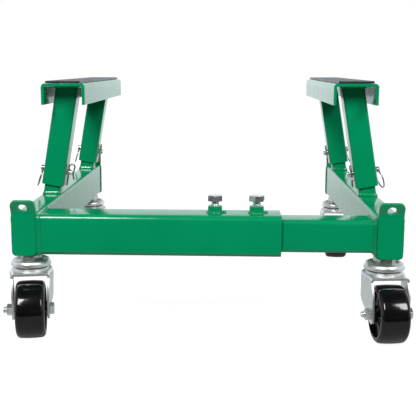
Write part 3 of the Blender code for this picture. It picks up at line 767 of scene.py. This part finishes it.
def split_ring(radius, wire):
    """Two turns of wire side by side, hanging from the origin along -Z."""
    count = SPLIT_TURNS * SPLIT_STEPS
    points = []
    for i in range(count + 1):
        a = 2 * math.pi * i / SPLIT_STEPS + SPLIT_START
        x = wire * (2 * i / count - 1)
        points.append((x, radius * math.sin(a), radius * (math.cos(a) - 1)))
    return swept(points, lambda i, way: wire, SPLIT_SIDES)


def spline(points, steps):
    """A smooth line through points."""
    points = [Vector(p) for p in points]
    ends = [2 * points[0] - points[1], *points, 2 * points[-1] - points[-2]]
    made = []
    for a, b, c, d in zip(ends, ends[1:], ends[2:], ends[3:]):
        for i in range(steps):
            t = i / steps
            bend = (2 * a - 5 * b + 4 * c - d) * t ** 2 + (3 * b - a - 3 * c + d) * t ** 3
            made.append(0.5 * (2 * b + (c - a) * t + bend))
    return made + [points[-1]]


def clip_mesh(low, radius):
    """An R-clip in y and z: a straight leg, an eye and a waved spring leg beside the pin."""
    leg = -low.z - CLIP_WIRE
    middle = (CLIP_OFFSET / 2, radius + CLIP_WIRE + CLIP_GAP + CLIP_EYE / 2)
    points = [(0, -leg), (0, -leg / 2), (0, radius)] + arc(middle, CLIP_EYE, *CLIP_EYE_ARC)
    points += [(CLIP_OFFSET, 0), (CLIP_OFFSET, -radius), (CLIP_OFFSET + CLIP_FLARE, -leg / 2)]
    path = spline([(0, y, z) for y, z in points], CLIP_STEPS)
    return swept(path, lambda i, way: CLIP_WIRE, CLIP_SIDES)


CLIP_LEG_X = local_box("clip_rear_left", arm_place("rear", "left"))[0].x + CLIP_WIRE

for end, side in PLACES:
    arm = arm_place(end, side)
    pin_node, ring_node, clip_node = (f"{name}_{end}_{side}" for name in ("pin", "ring", "clip"))
    hang = arm.inverted() @ Vector(JOINTS[f"ring_{end}_{side}_swing"]["pos_m"])
    low, high = local_box(pin_node, arm)
    pin_radius = (high.y - low.y) / 2
    pin = pin_mesh(low.x, high.x, pin_radius, CLIP_LEG_X - PIN_SLOT, hang.x)
    piece(f"{pin_node}_turned", pin, ZINC_LOOK, pin_node, arm, pin_node)

    place = arm @ SHIFT(hang)
    low, high = local_box(ring_node, place)
    centre = (low + high) / 2
    place = place @ Matrix.Rotation(math.atan2(-centre.x, -centre.z), 4, "Y")
    points = [place.inverted() @ vertex.co for vertex in NODES[ring_node].data.vertices]
    far = max(points, key=lambda point: point.y)
    place = place @ Matrix.Rotation(math.atan2(-far.x, far.y), 4, "Z")
    ring = split_ring(centre.length, SPLIT_WIRE)
    piece(f"{ring_node}_split", ring, WIRE_LOOK, ring_node, place, ring_node)

    turn = CLIP_TURN.get(f"{end}_{side}", 0.0)
    low, high = local_box(clip_node, arm)
    spun = arm @ SHIFT((CLIP_LEG_X, 0, 0)) @ Matrix.Rotation(turn, 4, "Z")
    clip = clip_mesh(low, pin_radius)
    piece(f"{clip_node}_wire", clip, WIRE_LOOK, clip_node, spun, clip_node)


# Ribbed rubber pads

RIB_PITCH = 0.0023
RIB_DEPTH = 0.0009
RIB_ROUND = 0.35
RIB_FOOT = 0.42
RIB_STEPS = 6


def pad_outline(width, low, high):
    """A strip's section in x and z with rounded ribs along its top."""
    count = int(width / RIB_PITCH)
    pitch = width / count
    points = [(-width / 2, low), (width / 2, low)]
    for i in range(count):
        centre = width / 2 - (i + 0.5) * pitch
        radius, foot, floor_z = RIB_ROUND * pitch, RIB_FOOT * pitch, high - RIB_DEPTH
        points.append((centre + foot, floor_z))
        points += arc((centre, high - radius), radius, 0, 180, RIB_STEPS)
        points.append((centre - foot, floor_z))
    return points


for side in SIDES:
    low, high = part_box(f"{side}_pad")
    middle = (low + high) / 2
    section = pad_outline(high.x - low.x, low.z, high.z)
    strip = prism(section, low.y, high.y)
    stand_up = Matrix(((1, 0, 0, middle.x), (0, 0, 1, 0), (0, 1, 0, 0), (0, 0, 0, 1)))
    moved(strip, stand_up)
    strip.flip_normals()
    pad = f"{side}_pad"
    piece(f"{pad}_ribbed", strip, RUBBER_LOOK, f"{side}_carrier", Matrix(), pad, FINE_EDGE)


# Caster caps, wheels and axles

DISH_HEIGHT = 0.0081
DISH_LIP = 0.0025
DISH_SEAT = 0.0231
DISH_CROWN = 0.0195
DISH_RECESS_RADIUS = 0.0155
DISH_RECESS = 0.0025
DISH_FLOOR_ROUND = (0.001, 0.0003)
DISH_LEDGE = (0.0012, 0.0004)
DISH_RIM_ROUND = 0.0004
DOME_STEPS = 8
STEM_NUT_FLATS = 0.024
STEM_NUT_HEIGHT = 0.0077
STEM_NUT_SINK = 0.0005
STEM_RADIUS = 0.006
STEM_CHAMFER = 0.001
KING_RADIUS = 0.005
KING_HEAD_RADIUS = 0.0085
KING_HEAD = 0.003
TURN_STEPS = 72


def cap_mesh(low, high, radius, rim):
    """Dished cap with its stem, stem nut and king pin. rim is the height of its rim's lower edge."""
    top, seat = rim + DISH_HEIGHT, rim + DISH_LIP
    recess = top - DISH_RECESS
    rise = top - seat
    profile = [(0, high), (STEM_RADIUS - STEM_CHAMFER, high)]
    profile += [(STEM_RADIUS, high - STEM_CHAMFER), (STEM_RADIUS, recess)]
    profile.append((DISH_RECESS_RADIUS - DISH_FLOOR_ROUND[0], recess))
    profile.append((DISH_RECESS_RADIUS, recess + DISH_FLOOR_ROUND[1]))
    profile.append((DISH_CROWN - DISH_LEDGE[0], top - DISH_LEDGE[1]))
    for i in range(DOME_STEPS + 1):
        a = math.pi / 2 * i / DOME_STEPS
        profile.append((DISH_CROWN + (radius - DISH_CROWN) * math.sin(a), seat + rise * math.cos(a)))
    profile += [(radius, rim + DISH_RIM_ROUND), (radius - DISH_RIM_ROUND, rim)]
    profile += [(DISH_SEAT, rim), (DISH_SEAT, seat)]
    profile += [(KING_RADIUS, seat), (KING_RADIUS, low + KING_HEAD), (KING_HEAD_RADIUS, low + KING_HEAD)]
    profile += [(KING_HEAD_RADIUS, low + KING_HEAD / 2), (KING_RADIUS, low), (0, low)]
    nut = hex_block(STEM_NUT_FLATS, recess - STEM_NUT_SINK, top + STEM_NUT_HEIGHT, False, True)
    return together(turned(profile, TURN_STEPS), nut)


WHEEL_SHOULDER = 0.0055
SHOULDER_STEPS = 8
WHEEL_CROWN = 0.00045
CROWN_STEPS = 6
WHEEL_RIM = 0.0075
RIM_LIP = (0.0007, 0.0008)
RIM_BEND = (0.0015, 0.0012)
RIM_FOOT = 0.003
RIM_BAND = 1e-4
RIM_SHARE = 0.75
WHEEL_WEB = 0.008
WEB_ROUND = 0.001
WHEEL_HUB = 0.010
HUB_CHAMFER = 0.0006
HUB_GAP = 0.0003
SPOKES = 3
SPOKE_START = 0.8 * WHEEL_HUB
SPOKE_WIDTH = 0.015
SPOKE_SINK = 0.002
SPOKE_ROOT = 0.0005
SPOKE_OVERLAP = 0.0002
SPOKE_TURN = math.radians(80)
AXLE_RADIUS = 0.004
AXLE_PITCH = 0.00125
AXLE_HEAD = 0.0053
AXLE_STEPS = 32
WHEEL_STEPS = 96


def wheel_mesh(radius, half, hub_half):
    """A moulded wheel about X: crowned tread, round shoulders, a lip, a dished web and a hub."""
    web, rim = WHEEL_WEB / 2, radius - WHEEL_RIM
    tread = half - WHEEL_SHOULDER
    right = [(AXLE_RADIUS + HUB_GAP, hub_half), (WHEEL_HUB - HUB_CHAMFER, hub_half)]
    right += [(WHEEL_HUB, hub_half - HUB_CHAMFER), (WHEEL_HUB, web + WEB_ROUND), (WHEEL_HUB + WEB_ROUND, web)]
    right += [(rim - RIM_FOOT, web), (rim - RIM_BEND[0], web + RIM_BEND[1])]
    right += [(rim, half - RIM_LIP[1]), (rim + RIM_LIP[0], half)]
    shoulder = (radius - WHEEL_CROWN - WHEEL_SHOULDER, tread)
    right += arc(shoulder, WHEEL_SHOULDER, 90, 0, SHOULDER_STEPS)
    shares = [i / CROWN_STEPS for i in range(CROWN_STEPS - 1, 0, -1)]
    right += [(radius - WHEEL_CROWN * share ** 2, tread * share) for share in shares]
    profile = right + [(radius, 0)] + [(r, -a) for r, a in reversed(right)]
    spokes = []
    for k in range(SPOKES):
        turn = Matrix.Rotation(SPOKE_TURN + 2 * math.pi * k / SPOKES, 4, "Z")
        wide, far = SPOKE_WIDTH / 2, rim + SPOKE_OVERLAP
        outline = [(SPOKE_START, -wide), (far, -wide), (far, wide), (SPOKE_START, wide)]
        inner, outer = web - SPOKE_ROOT, half - SPOKE_SINK
        spokes += [moved(prism(outline, a, b), turn) for a, b in ((inner, outer), (-outer, -inner))]
    return moved(together(turned(profile, WHEEL_STEPS, closed=True), *spokes), ALONG_X)


for end, side in PLACES:
    here = f"{end}_{side}"
    swivel = swivel_place(end, side)
    upright = SHIFT(swivel.translation)
    cap_node = f"cap_{here}"
    low, high = local_box(cap_node, upright)
    radius = (high.y - low.y) / 2
    around = [v.co - swivel.translation for v in NODES[cap_node].data.vertices]
    rim = min(p.z for p in around if p.to_2d().length > radius - RIM_BAND)
    cap = cap_mesh(low.z, high.z, radius, rim)
    body = f"{side}_frame"
    piece(f"{cap_node}_pressed", cap, PRESSED_LOOK, body, upright, cap_node, FINE_EDGE)

    axle = wheel_place(end, side)
    wheel_node = f"wheel_{here}"
    low, high = local_box(wheel_node, axle)
    rim_points = [axle.inverted() @ v.co for v in NODES[wheel_node].data.vertices]
    half = max(p.x for p in rim_points if p.yz.length > RIM_SHARE * high.z)
    wheel = wheel_mesh(high.z, half, high.x)
    piece(f"{wheel_node}_moulded", wheel, WHEEL_LOOK, wheel_node, axle, wheel_node)

    bolt_node, nut_node = f"axle_bolt_{here}", f"axle_nut_{here}"
    low, high = local_box(bolt_node, axle)
    across = high.y - low.y
    head = hex_block(across, high.x - AXLE_HEAD, high.x, False, True)
    nut_low, nut_high = local_box(nut_node, axle)
    start, end_x = high.x - AXLE_HEAD / 2, nut_high.x
    smooth = turned([(0, start), (AXLE_RADIUS, start), (AXLE_RADIUS, end_x), (0, end_x)], AXLE_STEPS)
    threaded = thread(AXLE_RADIUS, AXLE_PITCH, low.x, end_x)
    bolt = moved(together(head, smooth, threaded), ALONG_X)
    body = f"caster_{here}"
    piece(f"{bolt_node}_threaded", bolt, ZINC_LOOK, body, axle, bolt_node, FINE_EDGE)
    nut = hex_block(across, nut_low.x, end_x, True, True, AXLE_RADIUS + THREAD_GAP)
    moved(nut, ALONG_X)
    piece(f"{nut_node}_chamfered", nut, ZINC_LOOK, body, axle, nut_node, FINE_EDGE)


# Floor, light and camera

COOL = (0.92, 0.985, 1.04)
FLOOR_SIZE = 30.0
FLOOR_SHADE = 0.15
FLOOR_BOUNCE = 0.25
FLOOR_GLOW = 0.95
FAR_FLOOR = (0.5, 1.6)

# What gloss sees on the floor: a pale sheet from its front edge on, and glowing tones along Y behind it,
# whose dark band from 0.10 to 0.30 is a painted shadow of the stand
SHEET_SHADE = 0.45
SHEET_FRONT = (-0.43, -0.40)
BACKDROP_SPAN = (-0.5, 2.5)
BACKDROP_AND_STAND_SHADOW = (
    (-0.30, 0.0), (2.0, 1.1), (-0.12, 0.42), (0.03, 0.42), (0.10, 0.0), (0.30, 0.0), (0.5, 0.44), (0.9, 0.52),
)

# What gloss sees of the studio: tones by height from straight down to straight up, and a dark front
STUDIO_LEVELS = (
    (0.0, 0.4), (1.0, 0.03), (0.42, 0.75), (0.5, 1.0), (0.6, 0.8), (0.75, 0.45), (0.90, 0.30), (0.96, 0.05),
)
STUDIO_FRONT = Vector((0, -1, -0.12)).normalized()
FRONT_LEVELS = ((0.1, 1.0), (0.8, 0.03))
STUDIO_STRENGTH = 1.3
AMBIENT = 0.10

# Softboxes: place, width, height, radiance and whether gloss mirrors them
LIGHT_TARGET = (0, 0, 0.1)
SOFTBOXES = {
    "left_softbox": ((-0.62, -1.7, 1.55), 0.52, 0.85, 27.0, True),
    "right_softbox": ((1.30, -1.6, 1.55), 0.52, 0.85, 18.0, True),
    "back_left_softbox": ((-1.7, 1.6, 1.2), 0.8, 0.8, 10.0, False),
    "back_right_softbox": ((1.7, 1.6, 1.2), 0.8, 0.8, 10.0, False),
}


def mixed(owner, factor, first, second):
    """A shader that goes from the first to the second as the factor rises."""
    made = owner.node_tree.nodes.new("ShaderNodeMixShader")
    for socket, value in zip(made.inputs, (factor, first, second)):
        owner.node_tree.links.new(value, socket)
    return made.outputs["Shader"]


def added(owner, first, second):
    """Two shaders summed."""
    made = owner.node_tree.nodes.new("ShaderNodeAddShader")
    for socket, value in zip(made.inputs, (first, second)):
        owner.node_tree.links.new(value, socket)
    return made.outputs["Shader"]


def matt(owner, level):
    """A grey matt shader."""
    made = owner.node_tree.nodes.new("ShaderNodeBsdfDiffuse")
    made.inputs["Color"].default_value = (level, level, level, 1)
    return made


def floor():
    """A plain pale floor that keeps a soft shadow."""
    half = FLOOR_SIZE / 2
    corners = [(-half, -half, 0), (half, -half, 0), (half, half, 0), (-half, half, 0)]
    obj = bpy.data.objects.new("floor", mesh_from(corners, [(0, 1, 2, 3)]))
    bpy.context.scene.collection.objects.link(obj)
    made = bpy.data.materials.new("pale_floor")
    made.use_nodes = True
    nodes, links = made.node_tree.nodes, made.node_tree.links
    nodes.clear()
    place = nodes.new("ShaderNodeTexCoord").outputs["Object"]
    split = nodes.new("ShaderNodeSeparateXYZ")
    links.new(place, split.inputs["Vector"])
    distance = nodes.new("ShaderNodeVectorMath")
    distance.operation = "LENGTH"
    links.new(place, distance.inputs[0])

    depth = split.outputs["Y"]
    sheet = matt(made, SHEET_SHADE)
    links.new(map_range(made, depth, SHEET_FRONT, (0.0, SHEET_SHADE)), sheet.inputs["Color"])
    # Glowing backdrop tones for gloss, with a painted shadow of the stand in them
    backdrop_and_shadow = nodes.new("ShaderNodeEmission")
    first, last = BACKDROP_SPAN
    tones = [((y - first) / (last - first), shade(COOL, value)) for y, value in BACKDROP_AND_STAND_SHADOW]
    along = map_range(made, depth, BACKDROP_SPAN, (0.0, 1.0))
    links.new(ramp(made, along, tones), backdrop_and_shadow.inputs["Color"])
    mirrored = added(made, sheet.outputs["BSDF"], backdrop_and_shadow.outputs["Emission"])

    glow = nodes.new("ShaderNodeEmission")
    strength = map_range(made, distance.outputs["Value"], FAR_FLOOR, (FLOOR_GLOW, 1.0))
    links.new(strength, glow.inputs["Strength"])
    seen = added(made, matt(made, FLOOR_SHADE).outputs["BSDF"], glow.outputs["Emission"])

    path = nodes.new("ShaderNodeLightPath").outputs
    unseen = mixed(made, path["Is Glossy Ray"], matt(made, FLOOR_BOUNCE).outputs["BSDF"], mirrored)
    output = nodes.new("ShaderNodeOutputMaterial")
    links.new(mixed(made, path["Is Camera Ray"], unseen, seen), output.inputs["Surface"])
    obj.data.materials.append(made)


def background(owner, strength):
    """A white background shader."""
    made = owner.node_tree.nodes.new("ShaderNodeBackground")
    made.inputs["Color"].default_value = (1, 1, 1, 1)
    made.inputs["Strength"].default_value = strength
    return made


def world():
    """White to the camera. Gloss sees a white studio with a dark front, and the rest is soft fill."""
    made = bpy.data.worlds.new("studio")
    made.use_nodes = True
    bpy.context.scene.world = made
    nodes, links = made.node_tree.nodes, made.node_tree.links
    nodes.clear()
    place = nodes.new("ShaderNodeTexCoord").outputs["Generated"]
    facing = nodes.new("ShaderNodeVectorMath")
    facing.operation = "DOT_PRODUCT"
    facing.inputs[1].default_value = STUDIO_FRONT
    links.new(place, facing.inputs[0])
    front_tones = [(position, shade(COOL, value)) for position, value in FRONT_LEVELS]
    front = ramp(made, facing.outputs["Value"], front_tones)
    split = nodes.new("ShaderNodeSeparateXYZ")
    links.new(place, split.inputs["Vector"])
    height = map_range(made, split.outputs["Z"], (-1.0, 1.0), (0.0, 1.0))
    level = ramp(made, height, [(position, (value, value, value)) for position, value in STUDIO_LEVELS])
    studio = background(made, STUDIO_STRENGTH)
    links.new(multiplied(made, front, level), studio.inputs["Color"])
    fill, white = background(made, AMBIENT), background(made, 1.0)
    path = nodes.new("ShaderNodeLightPath").outputs
    clear = nodes.new("ShaderNodeMath")
    clear.operation = "MAXIMUM"
    links.new(path["Is Glossy Ray"], clear.inputs[0])
    links.new(path["Is Transmission Ray"], clear.inputs[1])
    unseen = mixed(made, clear.outputs["Value"], fill.outputs["Background"], studio.outputs["Background"])
    shown = mixed(made, path["Is Camera Ray"], unseen, white.outputs["Background"])
    output = nodes.new("ShaderNodeOutputWorld")
    links.new(shown, output.inputs["Surface"])


def softbox(name, place, width, height, radiance, mirrored):
    """A rectangular light that looks at the stand."""
    data = bpy.data.lights.new(name, "AREA")
    data.shape = "RECTANGLE"
    data.size = width
    data.size_y = height
    data.energy = radiance * math.pi * width * height
    obj = bpy.data.objects.new(name, data)
    bpy.context.scene.collection.objects.link(obj)
    obj.location = place
    obj.rotation_euler = (Vector(LIGHT_TARGET) - Vector(place)).to_track_quat("-Z", "Y").to_euler()
    obj.visible_glossy = mirrored


def camera():
    """The photograph's camera."""
    data = bpy.data.cameras.new("camera")
    data.sensor_width = SENSOR_WIDTH
    data.lens = FOCAL_PIXELS / IMAGE_SIZE * SENSOR_WIDTH
    data.shift_x = (IMAGE_SIZE / 2 - CENTRE_PIXEL[0]) / IMAGE_SIZE
    data.shift_y = (CENTRE_PIXEL[1] - IMAGE_SIZE / 2) / IMAGE_SIZE
    obj = bpy.data.objects.new("camera", data)
    bpy.context.scene.collection.objects.link(obj)
    obj.location = CAMERA_PLACE
    obj.rotation_euler = (CAMERA_TILT, 0, CAMERA_TURN)
    bpy.context.scene.camera = obj


floor()
world()
for name, light in SOFTBOXES.items():
    softbox(name, *light)
camera()
bpy.context.scene.view_settings.view_transform = "Standard"
